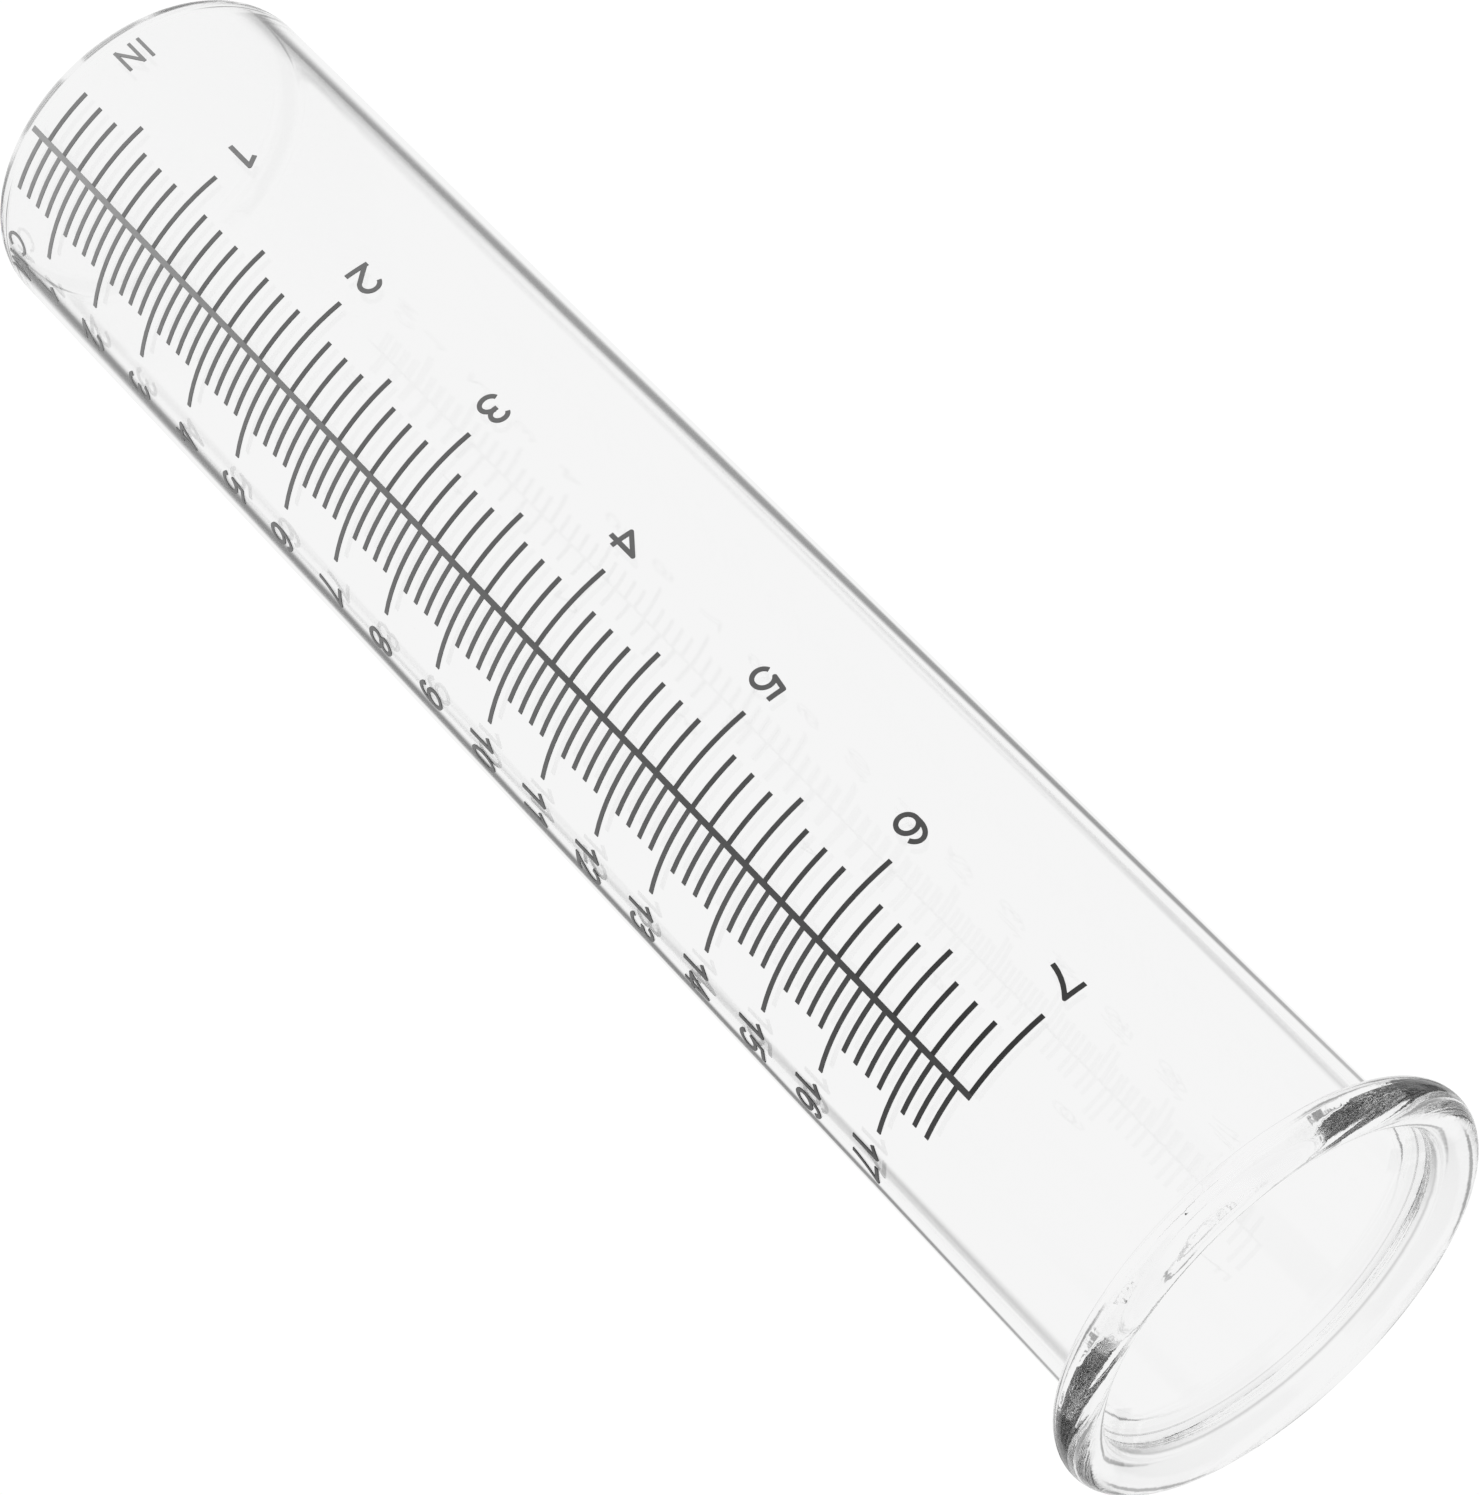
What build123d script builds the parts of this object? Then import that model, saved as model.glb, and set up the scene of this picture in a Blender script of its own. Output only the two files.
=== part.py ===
from build123d import *
import math
import os

# Manual rain gauge: a straight glass tube with a flat closed base and a beaded rim, and a scale in inches and
# centimetres fired on its outside. Millimetres. +Z is up, Z = 0 is the underside of the base, the tube's axis is
# the Z axis, and the scale faces -Y.

# Glass tube: the wall keeps its thickness round the corner into the floor, and opens out into the rim's bead
TUBE_DIAMETER = 45.0
WALL = 1.5
TOTAL_HEIGHT = 213.2
BASE_EDGE_RADIUS = 3.5
FLOOR_EDGE_RADIUS = BASE_EDGE_RADIUS - WALL
RIM_DIAMETER = 56.0
RIM_THICKNESS = 5.2
RIM_EDGE_RADIUS = 2.55
RIM_ROOT_RADIUS = 1.0
MOUTH_DIAMETER = 45.7
MOUTH_EDGE_RADIUS = 2.5
NECK_DEPTH = 3.6
NECK_RADIUS = 1.5
FLARE_DEPTH = 6.6
FLARE_RADIUS = 4.0

# Scale: its zero is the foot of the spine, a little above the inside of the floor
ZERO_HEIGHT = 3.2
INCH = 25.4
INCHES = 7
EIGHTHS_PER_INCH = 8
CENTIMETRE = 10.0
CENTIMETRES = 17
FIFTHS_PER_CENTIMETRE = 5
FIFTHS_ON_SCALE = 88

# Enamel, and its lines: lengths run round the tube from the middle of the spine
ENAMEL_THICKNESS = 0.12
MARK_WIDTH = 0.6
SPINE_WIDTH = 0.7
INCH_WHOLE_REACH = 11.5
INCH_HALF_REACH = 9.4
INCH_EIGHTH_REACH = 7.5
CENTIMETRE_WHOLE_REACH = 12.0
CENTIMETRE_FIFTH_REACH = 7.3

# Numerals and letters. The numerals are set a little closer together than the lines that they name.
DIGIT_HEIGHT = 4.34
DIGIT_WIDTH = 3.05
DIGIT_STROKE = 0.58
DIGIT_ADVANCE = 3.37
INCH_NUMERAL_CENTRE = -15.55
INCH_NUMERAL_FIRST = 23.0
INCH_NUMERAL_PITCH = 25.13
CENTIMETRE_NUMERAL_CENTRE = 17.35
CENTIMETRE_NUMERAL_FIRST = 7.45
CENTIMETRE_NUMERAL_PITCH = 9.93
LETTER_HEIGHT = 3.65
LETTER_STROKE = 0.42
LETTER_GAP = 0.85
LETTER_BASELINE = 1.37
INCH_LETTERS_CENTRE = -14.9
CENTIMETRE_LETTERS_CENTRE = 16.6
LETTER_WIDTHS = {"I": LETTER_STROKE, "N": 2.45, "C": 2.8, "M": 2.9}

RADIUS = TUBE_DIAMETER / 2
FRONT = -90.0


def make_glass_tube():
    """Revolve the half section of the tube, floor, flared mouth and rim about the Z axis."""
    rim_radius = RIM_DIAMETER / 2
    mouth_radius = MOUTH_DIAMETER / 2
    bore_radius = RADIUS - WALL
    rim_underside = TOTAL_HEIGHT - RIM_THICKNESS
    corners = {
        (RADIUS, 0): BASE_EDGE_RADIUS,
        (RADIUS, rim_underside): RIM_ROOT_RADIUS,
        (rim_radius, rim_underside): RIM_EDGE_RADIUS,
        (rim_radius, TOTAL_HEIGHT): RIM_EDGE_RADIUS,
        (mouth_radius, TOTAL_HEIGHT): MOUTH_EDGE_RADIUS,
        (mouth_radius, TOTAL_HEIGHT - NECK_DEPTH): NECK_RADIUS,
        (bore_radius, TOTAL_HEIGHT - FLARE_DEPTH): FLARE_RADIUS,
        (bore_radius, WALL): FLOOR_EDGE_RADIUS,
    }
    section = make_face(Polyline((0, 0), *corners, (0, WALL), close=True))
    for corner, radius in corners.items():
        nearest = section.vertices().sort_by_distance((*corner, 0))[0]
        section = fillet(nearest, radius)
    return revolve(Plane.XZ * section, Axis.Z)


def curved_tile(start, end, bottom, top):
    """A patch of enamel on the tube, from arc length start to end and from height bottom to top."""
    start_angle = math.radians(FRONT) + start / RADIUS
    outward = Vector(math.cos(start_angle), math.sin(start_angle), 0)
    plane = Plane(origin=(0, 0, 0), x_dir=outward, z_dir=outward.cross(Vector(0, 0, 1)))
    middle = Pos(RADIUS + ENAMEL_THICKNESS / 2, (bottom + top) / 2)
    section = plane * middle * Rectangle(ENAMEL_THICKNESS, top - bottom)
    return revolve(section, Axis.Z, math.degrees((end - start) / RADIUS))


def mark(height, reach):
    """A line of the scale, from the spine's side to its reach, left of the spine if the reach is negative."""
    side = math.copysign(SPINE_WIDTH / 2, reach)
    start, end = sorted((side, reach))
    middle = ZERO_HEIGHT + height
    return curved_tile(start, end, middle - MARK_WIDTH / 2, middle + MARK_WIDTH / 2)


def make_spine():
    top = ZERO_HEIGHT + INCHES * INCH + MARK_WIDTH / 2
    return curved_tile(-SPINE_WIDTH / 2, SPINE_WIDTH / 2, ZERO_HEIGHT, top)


def inch_marks(steps, reach):
    return [mark(step * INCH / EIGHTHS_PER_INCH, -reach) for step in steps]


def centimetre_marks(steps, reach):
    return [mark(step * CENTIMETRE / FIFTHS_PER_CENTIMETRE, reach) for step in steps]


def strokes(width, lines, corners=()):
    """Pen strokes of one width along the lines, rounded at the corners where two of them meet."""
    drawn = Sketch()
    for line in lines:
        drawn += trace(line, line_width=width)
    for corner in corners:
        drawn += Pos(*corner) * Circle(width / 2)
    return drawn


def bowl(x, y, x_radius, y_radius, start, end):
    """Part of an ellipse about (x, y), anticlockwise from the start angle to the end angle."""
    return EllipticalCenterArc((x, y), x_radius, y_radius, start, arc_size=end - start)


def oval(x, y, x_radius, y_radius):
    """A closed ellipse drawn with the digits' stroke, x_radius and y_radius being those of its middle line."""
    pen = DIGIT_STROKE / 2
    outer = Ellipse(x_radius + pen, y_radius + pen)
    return Pos(x, y) * (outer - Ellipse(x_radius - pen, y_radius - pen))


def digit_shape(digit):
    """A digit's outline, with its box's lower left corner at the origin."""
    pen = DIGIT_STROKE / 2
    left, right = pen, DIGIT_WIDTH - pen
    low, high = pen, DIGIT_HEIGHT - pen
    middle = DIGIT_WIDTH / 2
    half = (right - left) / 2
    if digit == "0":
        return oval(middle, DIGIT_HEIGHT / 2, half - 0.05, (high - low) / 2)
    if digit == "1":
        stem = 1.8
        flag = Line((0.45, high - 0.95), (stem, high))
        return strokes(DIGIT_STROKE, [Line((stem, 0), (stem, high)), flag], [(stem, high)])
    if digit == "2":
        crown = bowl(middle, high - 1.15, half - 0.05, 1.15, -35, 165)
        turn = crown @ 0
        slope = Line((turn.X, turn.Y), (left + 0.05, low))
        base = Line((0, low), (DIGIT_WIDTH, low))
        return strokes(DIGIT_STROKE, [crown, slope, base], [(turn.X, turn.Y)])
    if digit == "3":
        upper = bowl(middle, high - 0.9, half - 0.2, 0.9, -90, 160)
        lower = bowl(middle, low + 1.02, half, 1.02, -160, 90)
        waist = Line((middle - 0.35, high - 1.8), (middle, high - 1.8))
        return strokes(DIGIT_STROKE, [upper, lower, waist])
    if digit == "4":
        stem, bar = 2.2, 1.25
        lines = [
            Line((stem, 0), (stem, high)),
            Line((left, bar), (DIGIT_WIDTH, bar)),
            Line((left, bar), (stem, high)),
        ]
        return strokes(DIGIT_STROKE, lines, [(left, bar), (stem, high)])
    if digit == "5":
        cup = bowl(middle - 0.08, low + 1.22, half + 0.05, 1.22, -155, 148)
        joint = cup @ 1
        shoulder = (joint.X + 0.3, high)
        lines = [cup, Line((joint.X, joint.Y), shoulder), Line(shoulder, (right + 0.05, high))]
        return strokes(DIGIT_STROKE, lines, [(joint.X, joint.Y), shoulder])
    if digit == "6":
        back = bowl(middle + 0.1, 2.1, half + 0.1, high - 2.1, 35, 180)
        return oval(middle, low + 1.18, half, 1.18) + strokes(DIGIT_STROKE, [back, Line((left, 1.4), (left, 2.1))])
    if digit == "7":
        foot = (1.05, 0)
        leg = ThreePointArc((right, high), (1.62, 2.2), foot)
        return strokes(DIGIT_STROKE, [Line((0, high), (right, high)), leg], [(right, high)])
    if digit == "8":
        return oval(middle, high - 0.9, half - 0.2, 0.9) + oval(middle, low + 1.05, half, 1.05)
    return Pos(DIGIT_WIDTH, DIGIT_HEIGHT) * Rot(0, 0, 180) * digit_shape("6")


def letter_shape(letter):
    """A capital's outline, with its box's lower left corner at the origin."""
    pen = LETTER_STROKE / 2
    width = LETTER_WIDTHS[letter]
    left, right = pen, width - pen
    low, high = pen, LETTER_HEIGHT - pen
    if letter == "C":
        x_radius = (width - LETTER_STROKE) / 2 + 0.1
        curve = bowl(left + x_radius, LETTER_HEIGHT / 2, x_radius, (high - low) / 2, 42, 318)
        return strokes(LETTER_STROKE, [curve])
    lines = [Line((x, 0), (x, LETTER_HEIGHT)) for x in sorted({left, right})]
    if letter == "N":
        lines.append(Line((left, high), (right, low)))
    if letter == "M":
        lines += [Line((left, high), (width / 2, low)), Line((width / 2, low), (right, high))]
        return strokes(LETTER_STROKE, lines, [(width / 2, low)])
    return strokes(LETTER_STROKE, lines)


def wrap_on_tube(shape, arc_centre, half_width, baseline, height):
    """Lay a flat outline, drawn about x = 0, on the tube with its middle at arc_centre."""
    margin = 1.0
    angle = math.radians(FRONT) + arc_centre / RADIUS
    outward = Vector(math.cos(angle), math.sin(angle), 0)
    across = Vector(0, 0, 1).cross(outward)
    start = outward * (RADIUS - margin) + Vector(0, 0, baseline)
    prism = extrude(Plane(origin=start, x_dir=across, z_dir=outward) * shape, 2 * margin)
    span = half_width + margin
    tile = curved_tile(arc_centre - span, arc_centre + span, baseline - margin, baseline + height + margin)
    return (prism & tile).solids()


def numeral(number, centre, baseline):
    """The digits of a number side by side about its centre."""
    digits = str(number)
    first = centre - DIGIT_ADVANCE * (len(digits) - 1) / 2
    solids = []
    for place, digit in enumerate(digits):
        shape = Pos(-DIGIT_WIDTH / 2, 0) * digit_shape(digit)
        arc_centre = first + place * DIGIT_ADVANCE
        solids += wrap_on_tube(shape, arc_centre, DIGIT_WIDTH / 2, ZERO_HEIGHT + baseline, DIGIT_HEIGHT)
    return solids


def numerals(count, centre, first_baseline, pitch):
    solids = []
    for number in range(1, count + 1):
        solids += numeral(number, centre, first_baseline + (number - 1) * pitch)
    return solids


def unit_letters(word, centre):
    """The letters of a unit's short name side by side about its centre."""
    width = sum(LETTER_WIDTHS[letter] for letter in word) + LETTER_GAP * (len(word) - 1)
    edge = centre - width / 2
    solids = []
    for letter in word:
        half = LETTER_WIDTHS[letter] / 2
        shape = Pos(-half, 0) * letter_shape(letter)
        solids += wrap_on_tube(shape, edge + half, half, ZERO_HEIGHT + LETTER_BASELINE, LETTER_HEIGHT)
        edge += 2 * half + LETTER_GAP
    return solids


def save(name, shapes):
    export_step(Compound(children=shapes) if len(shapes) > 1 else shapes[0], f"parts/{name}.step")


eighths = range(1, INCHES * EIGHTHS_PER_INCH + 1)
whole_inches = [step for step in eighths if step % EIGHTHS_PER_INCH == 0]
half_inches = [step for step in eighths if step % EIGHTHS_PER_INCH == EIGHTHS_PER_INCH // 2]
other_eighths = [step for step in eighths if step not in whole_inches + half_inches]
fifths = range(1, FIFTHS_ON_SCALE + 1)
whole_centimetres = [step for step in fifths if step % FIFTHS_PER_CENTIMETRE == 0]
other_fifths = [step for step in fifths if step not in whole_centimetres]

os.makedirs("parts", exist_ok=True)
save("glass_tube", [make_glass_tube()])
save("scale_spine", [make_spine()])
save("inch_whole_marks", inch_marks(whole_inches, INCH_WHOLE_REACH))
save("inch_half_marks", inch_marks(half_inches, INCH_HALF_REACH))
save("inch_eighth_marks", inch_marks(other_eighths, INCH_EIGHTH_REACH))
save("inch_numerals", numerals(INCHES, INCH_NUMERAL_CENTRE, INCH_NUMERAL_FIRST, INCH_NUMERAL_PITCH))
save("inch_unit_letters", unit_letters("IN", INCH_LETTERS_CENTRE))
save("centimetre_whole_marks", centimetre_marks(whole_centimetres, CENTIMETRE_WHOLE_REACH))
save("centimetre_fifth_marks", centimetre_marks(other_fifths, CENTIMETRE_FIFTH_REACH))
save(
    "centimetre_numerals",
    numerals(CENTIMETRES, CENTIMETRE_NUMERAL_CENTRE, CENTIMETRE_NUMERAL_FIRST, CENTIMETRE_NUMERAL_PITCH),
)
save("centimetre_unit_letters", unit_letters("CM", CENTIMETRE_LETTERS_CENTRE))
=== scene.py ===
import bmesh
import bpy
import math
from mathutils import Matrix, Vector


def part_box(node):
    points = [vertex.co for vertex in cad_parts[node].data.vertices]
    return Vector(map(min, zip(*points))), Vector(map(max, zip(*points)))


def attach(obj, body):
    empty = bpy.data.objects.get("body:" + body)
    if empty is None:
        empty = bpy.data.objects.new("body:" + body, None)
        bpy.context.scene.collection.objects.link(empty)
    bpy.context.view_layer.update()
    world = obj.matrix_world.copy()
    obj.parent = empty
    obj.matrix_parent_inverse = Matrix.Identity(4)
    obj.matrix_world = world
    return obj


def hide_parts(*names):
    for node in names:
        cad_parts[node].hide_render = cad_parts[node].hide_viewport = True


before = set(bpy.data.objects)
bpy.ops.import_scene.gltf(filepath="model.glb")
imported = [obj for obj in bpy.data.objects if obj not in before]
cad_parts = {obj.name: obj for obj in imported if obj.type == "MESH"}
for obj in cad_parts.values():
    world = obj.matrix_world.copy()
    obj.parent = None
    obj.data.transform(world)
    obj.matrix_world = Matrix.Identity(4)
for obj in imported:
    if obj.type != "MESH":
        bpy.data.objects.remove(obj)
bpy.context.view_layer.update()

# Camera: a long lens looking down at the gauge from its left and a little above, turned so that the tube lies
# across the frame from corner to corner with its mouth low on the right.
SENSOR = 36.0
LENS = 136.8
CAMERA_AZIMUTH = math.radians(-21.16)
CAMERA_ELEVATION = math.radians(30.32)
CAMERA_ROLL = math.radians(135.54)
CAMERA_DEPTH = 0.6475
AIM_HEIGHT = 0.0932
AIM_LEFT = 0.01621
AIM_UP = 0.01629
NEAREST = 0.05
FARTHEST = 50.0
LIGHT_BOUNCES = 256

back = Vector((
    math.sin(CAMERA_AZIMUTH) * math.cos(CAMERA_ELEVATION),
    -math.cos(CAMERA_AZIMUTH) * math.cos(CAMERA_ELEVATION),
    math.sin(CAMERA_ELEVATION),
))
level_right = Vector((0, 0, 1)).cross(back).normalized()
level_up = back.cross(level_right)
right = level_right * math.cos(CAMERA_ROLL) + level_up * math.sin(CAMERA_ROLL)
up = level_up * math.cos(CAMERA_ROLL) - level_right * math.sin(CAMERA_ROLL)
eye = Vector((0, 0, AIM_HEIGHT)) + back * CAMERA_DEPTH + right * AIM_LEFT - up * AIM_UP
camera = bpy.data.objects.new("camera", bpy.data.cameras.new("camera"))
bpy.context.scene.collection.objects.link(camera)
camera.data.lens = LENS
camera.data.sensor_width = SENSOR
camera.data.clip_start = NEAREST
camera.data.clip_end = FARTHEST
camera.matrix_world = Matrix.Translation(eye) @ Matrix((right, up, back)).transposed().to_4x4()
bpy.context.scene.camera = camera
bpy.context.scene.view_settings.view_transform = "Standard"
for limit in ("max_bounces", "transmission_bounces", "glossy_bounces"):
    setattr(bpy.context.scene.cycles, limit, LIGHT_BOUNCES)


class Value:
    """A socket of a node tree, on which Python's arithmetic adds Math nodes."""

    def __init__(self, tree, socket):
        self.tree = tree
        self.socket = socket

    def node(self, kind, settings=None, **inputs):
        """A node of this kind: its settings are set first, then the values or links of its sockets."""
        made = self.tree.nodes.new(kind)
        for name, setting in (settings or {}).items():
            if name == "stops":
                ramp = made.color_ramp
                while len(ramp.elements) < len(setting):
                    ramp.elements.new(1.0)
                for element, (position, colour) in zip(ramp.elements, setting):
                    element.position = position
                    element.color = colour
            else:
                setattr(made, name, setting)
        for name, value in inputs.items():
            key = int(name[1:]) if name[0] == "_" else name.replace("_", " ")
            if isinstance(value, Value):
                self.tree.links.new(value.socket, made.inputs[key])
            else:
                made.inputs[key].default_value = value
        return made

    def out(self, made, name=0):
        return Value(self.tree, made.outputs[name])

    def math(self, operation, *others):
        inputs = {f"_{place}": value for place, value in enumerate((self, *others))}
        return self.out(self.node("ShaderNodeMath", {"operation": operation}, **inputs))

    def reversed_math(self, operation, other):
        return self.out(self.node("ShaderNodeMath", {"operation": operation}, _0=other, _1=self))

    def __add__(self, other):
        return self.math("ADD", other)

    def __radd__(self, other):
        return self.math("ADD", other)

    def __sub__(self, other):
        return self.math("SUBTRACT", other)

    def __rsub__(self, other):
        return self.reversed_math("SUBTRACT", other)

    def __mul__(self, other):
        return self.math("MULTIPLY", other)

    def __rmul__(self, other):
        return self.math("MULTIPLY", other)

    def __truediv__(self, other):
        return self.math("DIVIDE", other)

    def step(self, start, end):
        """0 below start and 1 above end, turning smoothly between them."""
        settings = {"interpolation_type": "SMOOTHSTEP"}
        made = self.node("ShaderNodeMapRange", settings, Value=self, From_Min=start, From_Max=end)
        return self.out(made)


# Studio: a white sweep that only the camera sees, and soft light from all round. The bright table has a dark
# strip along each side and gaps near its edge, and the darker room has lamps overhead, behind and in front.
# The glass has no colour of its own, so these are what draws its edges.
SWEEP_RADIUS = 6.0
SWEEP_SEGMENTS = 64
SWEEP_RINGS = 32
SWEEP_LEVEL = 1.02
TABLE_LEVEL = 0.92
ROOM_LEVEL = 0.34
LAMP_LEVEL = 0.9
RIGHT_STRIP = (0.69, 0.15, 0.72)
LEFT_STRIP = (-0.79, 0.17, 0.65)
STRIP_BEHIND = (0.2, 0.4)
STRIP_FAR_END = (-0.43, -0.3)
LOWEST_SLOPE = 0.05
GAP_WAVES = (7, 4)
GAP_TURN = 1
GAP_SHARE = (0.5, 1.3)
GAP_NEAR_END = (-0.345, -0.29)
GAP_DEPTH = 0.7
HORIZON = (-0.14, 0.0)
HIGH_LAMP_SIDES = (0.3, 0.5)
HIGH_LAMP_FOOT = (0.25, 0.4)
LOW_LAMP_SIDES = (0.1, 0.45)
LOW_LAMP_FOOT = (-0.1, 0.02)
OVERHEAD_EDGE = (0.7, 0.95)

sweep_mesh = bmesh.new()
bmesh.ops.create_uvsphere(
    sweep_mesh,
    u_segments=SWEEP_SEGMENTS,
    v_segments=SWEEP_RINGS,
    radius=SWEEP_RADIUS,
)
cut = bmesh.ops.bisect_plane(
    sweep_mesh,
    geom=sweep_mesh.verts[:] + sweep_mesh.edges[:] + sweep_mesh.faces[:],
    plane_co=(0, 0, 0),
    plane_no=(0, 0, 1),
    clear_inner=True,
)
rim_edges = [item for item in cut["geom_cut"] if isinstance(item, bmesh.types.BMEdge)]
bmesh.ops.contextual_create(sweep_mesh, geom=rim_edges)
sweep = bpy.data.objects.new("studio_sweep", bpy.data.meshes.new("studio_sweep"))
sweep_mesh.to_mesh(sweep.data)
sweep_mesh.free()
bpy.context.scene.collection.objects.link(sweep)
for seen_by in ("diffuse", "glossy", "transmission", "shadow", "volume_scatter"):
    setattr(sweep, f"visible_{seen_by}", False)
white = bpy.data.materials.new("white_sweep")
white.use_nodes = True
white.node_tree.nodes.clear()
paper = Value(white.node_tree, None)
lit = paper.node("ShaderNodeEmission", Color=(1, 1, 1, 1), Strength=SWEEP_LEVEL)
paper.node("ShaderNodeOutputMaterial", Surface=paper.out(lit))
sweep.data.materials.append(white)

world = bpy.data.worlds.new("studio_light")
bpy.context.scene.world = world
world.use_nodes = True
world.node_tree.nodes.clear()
sky = Value(world.node_tree, None)
toward = sky.out(sky.node("ShaderNodeTexCoord"), "Generated")
parts = sky.node("ShaderNodeSeparateXYZ", Vector=toward)
x, y, z = (sky.out(parts, name) for name in "XYZ")
behind = x * -math.sin(CAMERA_AZIMUTH) + y * math.cos(CAMERA_AZIMUTH)
aside = x * math.cos(CAMERA_AZIMUTH) + y * math.sin(CAMERA_AZIMUTH)
sideways = aside / (0 - z).math("MAXIMUM", LOWEST_SLOPE)
table = TABLE_LEVEL
for offset, half_width, depth in (RIGHT_STRIP, LEFT_STRIP):
    off_strip = (sideways - offset).math("ABSOLUTE")
    across = 1 - off_strip.step(half_width * 0.5, half_width * 1.5)
    strip = across * behind.step(*STRIP_BEHIND) * (1 - z.step(*STRIP_FAR_END))
    table = (1 - strip * depth) * table
bearing = y.math("ARCTAN2", x)
short_wave, long_wave = GAP_WAVES
uneven = (bearing * short_wave).math("SINE") + (bearing * long_wave + GAP_TURN).math("SINE")
gaps = uneven.step(*GAP_SHARE) * z.step(*GAP_NEAR_END) * GAP_DEPTH
table = (1 - gaps) * table
off_axis = aside.math("ABSOLUTE")
high_lamp = (1 - off_axis.step(*HIGH_LAMP_SIDES)) * z.step(*HIGH_LAMP_FOOT)
low_lamp = (1 - off_axis.step(*LOW_LAMP_SIDES)) * z.step(*LOW_LAMP_FOOT)
lamp = high_lamp.math("MAXIMUM", low_lamp)
overhead = z.step(*OVERHEAD_EDGE)
room = ROOM_LEVEL + lamp.math("MAXIMUM", overhead) * (LAMP_LEVEL - ROOM_LEVEL)
above = z.step(*HORIZON)
brightness = table * (1 - above) + room * above
glow = sky.node("ShaderNodeBackground", Color=(1, 1, 1, 1), Strength=brightness)
sky.node("ShaderNodeOutputWorld", Surface=sky.out(glow))


# Glass tube: one piece of clear glass tubing. The lower end is closed flat and the mouth is turned out and
# melted into a thick round bead, which the gauge hangs by. It is made by turning its half section.
MM = 0.001
TURNS = 360
CORNER_STEPS = 12
TUBE_RADIUS = 22.5 * MM
WALL = 1.5 * MM
MOUTH_RADIUS = 22.85 * MM
RIM_THICKNESS = 5.2 * MM
NECK_DEPTH = 3.6 * MM
FLARE_DEPTH = 6.6 * MM
BASE_EDGE_BEND = 3.5 * MM
FLOOR_CORNER_BEND = 2.0 * MM
RIM_ROOT_BEND = 1.0 * MM
RIM_EDGE_BEND = 2.55 * MM
MOUTH_EDGE_BEND = 2.5 * MM
NECK_BEND = 0.42 * MM
FLARE_BEND = 1.12 * MM
BEAD_HEIGHTS = (0.2045, 0.2090)
DRAWN_SCALE = (90, 90, 8)
FOLD_SCALE = (420, 420, 90)
STREAK_RELIEF = 0.01 * MM
FOLD_RELIEF = 0.03 * MM
GLASS_INDEX = 1.47
tube_low, tube_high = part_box("glass_tube")
rim_radius = tube_high.x
total_height = tube_high.z
bore_radius = TUBE_RADIUS - WALL
rim_underside = total_height - RIM_THICKNESS
neck = total_height - NECK_DEPTH
flare_foot = total_height - FLARE_DEPTH
section = (
    ((0, 0), 0),
    ((TUBE_RADIUS, 0), BASE_EDGE_BEND),
    ((TUBE_RADIUS, rim_underside), RIM_ROOT_BEND),
    ((rim_radius, rim_underside), RIM_EDGE_BEND),
    ((rim_radius, total_height), RIM_EDGE_BEND),
    ((MOUTH_RADIUS, total_height), MOUTH_EDGE_BEND),
    ((MOUTH_RADIUS, neck), NECK_BEND),
    ((bore_radius, flare_foot), FLARE_BEND),
    ((bore_radius, WALL), FLOOR_CORNER_BEND),
    ((0, WALL), 0),
)
tube_mesh = bmesh.new()
corners = [tube_mesh.verts.new((radius, 0, height)) for (radius, height), bend in section]
for first, second in zip(corners, corners[1:]):
    tube_mesh.edges.new((first, second))
for corner, (place, bend) in zip(corners, section):
    if bend:
        bmesh.ops.bevel(
            tube_mesh,
            geom=[corner],
            offset=bend,
            offset_type="OFFSET",
            affect="VERTICES",
            segments=CORNER_STEPS,
            profile=0.5,
            material=-1,
        )
bmesh.ops.spin(
    tube_mesh,
    geom=tube_mesh.verts[:] + tube_mesh.edges[:],
    cent=(0, 0, 0),
    axis=(0, 0, 1),
    angle=math.tau,
    steps=TURNS,
    use_merge=True,
)
bmesh.ops.remove_doubles(tube_mesh, verts=tube_mesh.verts[:], dist=0.001 * MM)
bmesh.ops.recalc_face_normals(tube_mesh, faces=tube_mesh.faces[:])
for face in tube_mesh.faces:
    face.smooth = True
glass = bpy.data.objects.new("clear_glass_tube", bpy.data.meshes.new("clear_glass_tube"))
tube_mesh.to_mesh(glass.data)
tube_mesh.free()
bpy.context.scene.collection.objects.link(glass)
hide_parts("glass_tube")
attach(glass, "root")

clear = bpy.data.materials.new("fire_polished_glass")
clear.use_nodes = True
clear.node_tree.nodes.clear()
melt = Value(clear.node_tree, None)
place = melt.out(melt.node("ShaderNodeTexCoord"), "Object")
heights = melt.out(melt.node("ShaderNodeSeparateXYZ", Vector=place), "Z")
drawn = melt.node("ShaderNodeMapping", Vector=place, Scale=DRAWN_SCALE)
streaks = melt.out(melt.node("ShaderNodeTexNoise", Vector=melt.out(drawn), Scale=1.0, Detail=2.0))
turned = melt.node("ShaderNodeMapping", Vector=place, Scale=FOLD_SCALE)
folds = melt.out(melt.node("ShaderNodeTexNoise", Vector=melt.out(turned), Scale=1.0, Detail=3.0))
in_bead = heights.step(*BEAD_HEIGHTS)
relief = melt.node(
    "ShaderNodeBump",
    Height=streaks * STREAK_RELIEF + folds * in_bead * FOLD_RELIEF,
    Strength=1.0,
    Distance=1.0,
)
body = melt.node(
    "ShaderNodeBsdfPrincipled",
    Base_Color=(1, 1, 1, 1),
    Roughness=0.0,
    IOR=GLASS_INDEX,
    Transmission_Weight=1.0,
    Normal=melt.out(relief),
)
melt.node("ShaderNodeOutputMaterial", Surface=melt.out(body))
glass.data.materials.append(clear)


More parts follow.
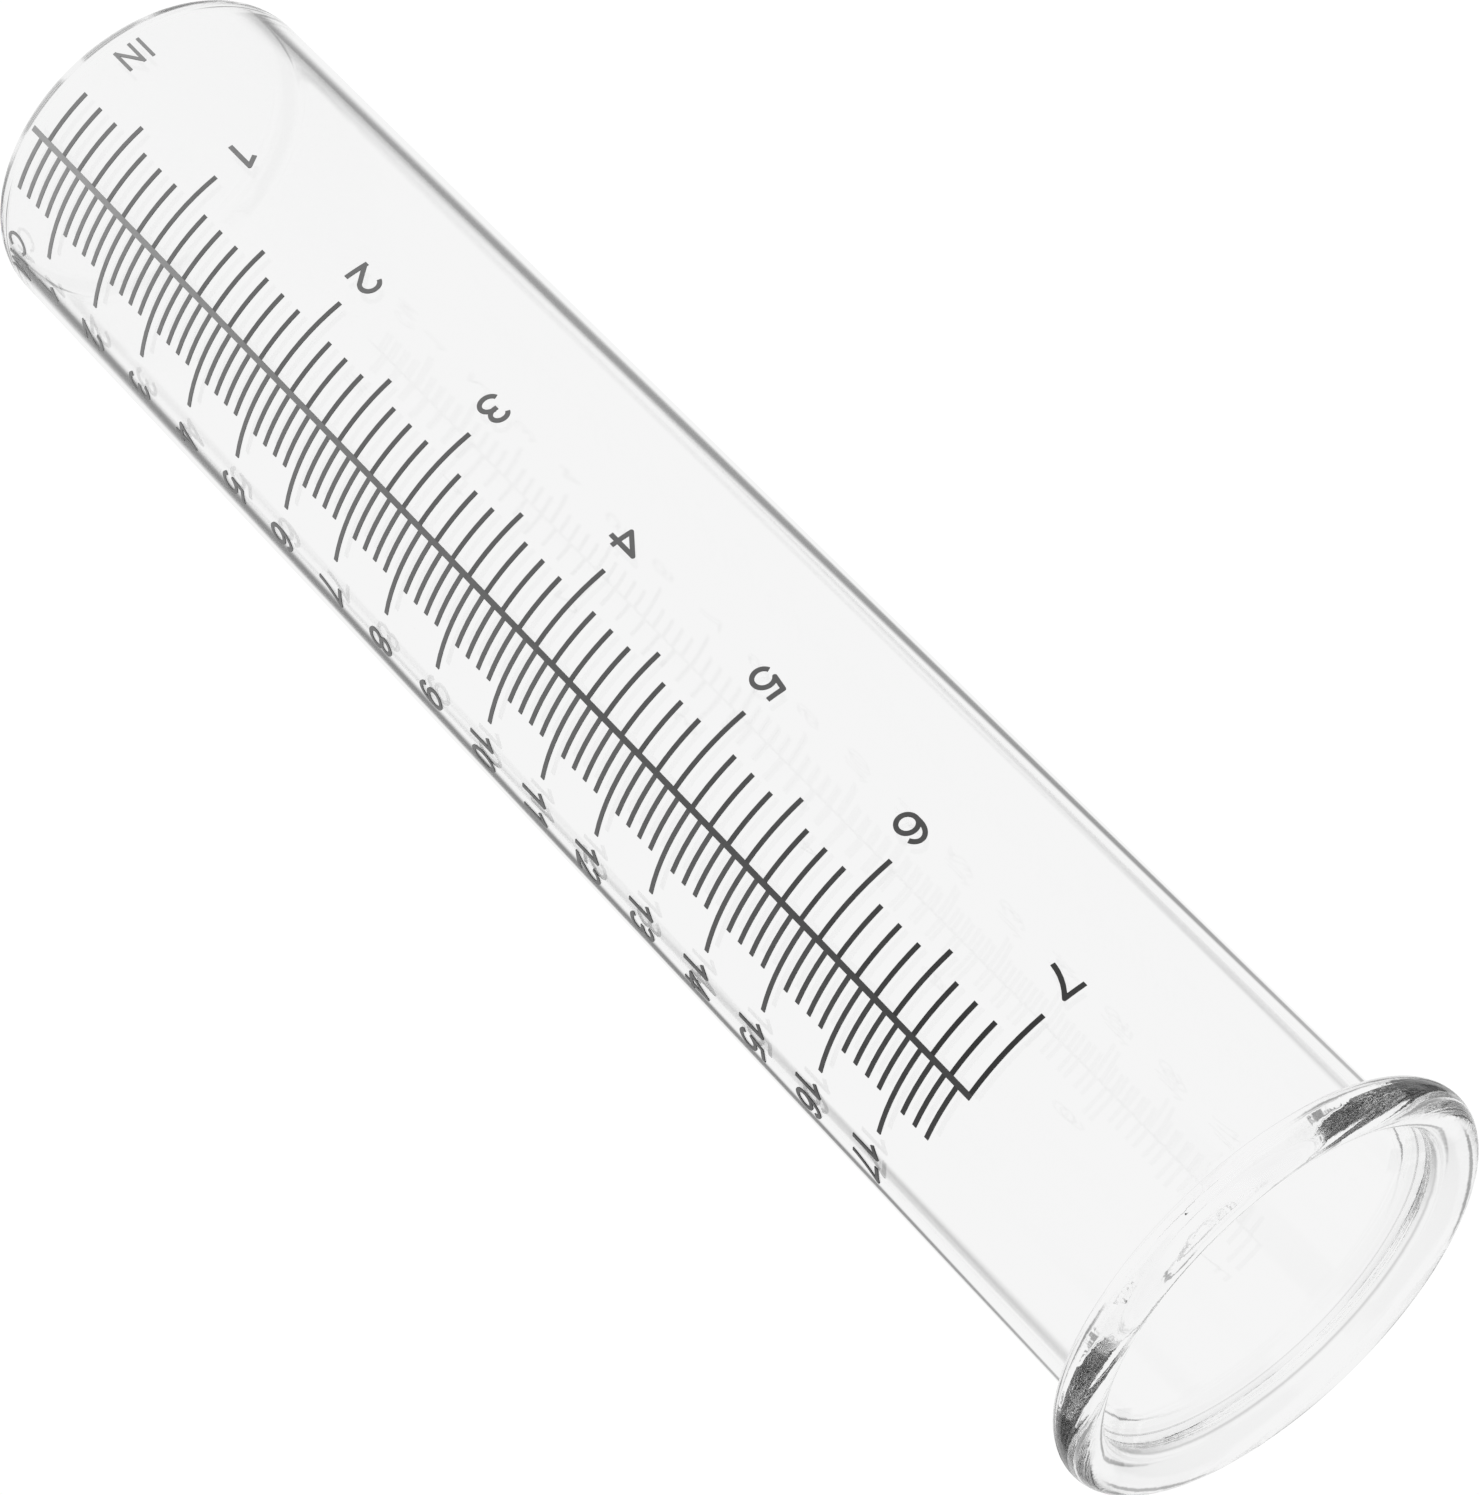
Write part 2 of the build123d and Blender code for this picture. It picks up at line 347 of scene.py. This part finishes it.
# Scale: grey enamel screened on the outside of the tube and fired, a film that stands a little proud. It lies
# thicker on the inch lines, and thinner and so lighter everywhere else. Its grey also turns lighter towards
# the
# bottom: that is painted light, the light of the bright table near the foot painted into the print's colour.
# The lines, digits and letters are the shapes of the model, so only their finish is made here.
# Grey stops from the foot (0) to the mouth (1) of the tube. The lighter greys low down are painted light: the
# bright table's light is painted into the print's colour.
LINE_GREYS_AND_PAINTED_LIGHT = ((0.0, 0.29), (0.2, 0.15), (0.5, 0.115), (0.68, 0.06), (0.82, 0.012))
SPINE_GREYS_AND_PAINTED_LIGHT = ((0.0, 0.5), (0.25, 0.28), (0.5, 0.115), (0.8, 0.045))
OTHER_GREYS_AND_PAINTED_LIGHT = ((0.0, 0.4), (0.2, 0.21), (0.5, 0.155), (0.68, 0.095), (0.82, 0.025))
MOTTLE_SCALE = 900.0
MOTTLE_IN_TONE = 0.1
SMOOTHEST = 0.3
MOTTLE_IN_FINISH = 0.2
ENAMEL_INDEX = 1.5
inch_lines = ("inch_whole_marks", "inch_half_marks", "inch_eighth_marks")
spine = ("scale_spine",)
others = [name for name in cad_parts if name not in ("glass_tube", *inch_lines, *spine)]
finishes = (
    ("fired_grey_enamel", LINE_GREYS_AND_PAINTED_LIGHT, inch_lines),
    ("fired_thin_grey_enamel", SPINE_GREYS_AND_PAINTED_LIGHT, spine),
    ("fired_light_grey_enamel", OTHER_GREYS_AND_PAINTED_LIGHT, others),
)
for title, greys_and_painted_light, printed in finishes:
    enamel = bpy.data.materials.new(title)
    enamel.use_nodes = True
    enamel.node_tree.nodes.clear()
    film = Value(enamel.node_tree, None)
    place = film.out(film.node("ShaderNodeTexCoord"), "Object")
    height = film.out(film.node("ShaderNodeSeparateXYZ", Vector=place), "Z") / total_height
    mottle = film.out(film.node("ShaderNodeTexNoise", Vector=place, Scale=MOTTLE_SCALE, Detail=3.0))
    # Painted light: height makes the enamel lighter towards the bottom, as if lit by the bright table. The
    # mottle is the film's own uneven tone.
    painted_light_and_mottle = height + (mottle - 0.5) * MOTTLE_IN_TONE
    stops = [(position, (grey, grey, grey, 1)) for position, grey in greys_and_painted_light]
    colour = film.node("ShaderNodeValToRGB", {"stops": stops}, Fac=painted_light_and_mottle)
    finish = film.node(
        "ShaderNodeBsdfPrincipled",
        Base_Color=film.out(colour, "Color"),
        Roughness=(mottle * MOTTLE_IN_FINISH + SMOOTHEST),
        IOR=ENAMEL_INDEX,
    )
    film.node("ShaderNodeOutputMaterial", Surface=film.out(finish))
    for name in printed:
        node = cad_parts[name]
        node.data.materials.clear()
        node.data.materials.append(enamel)
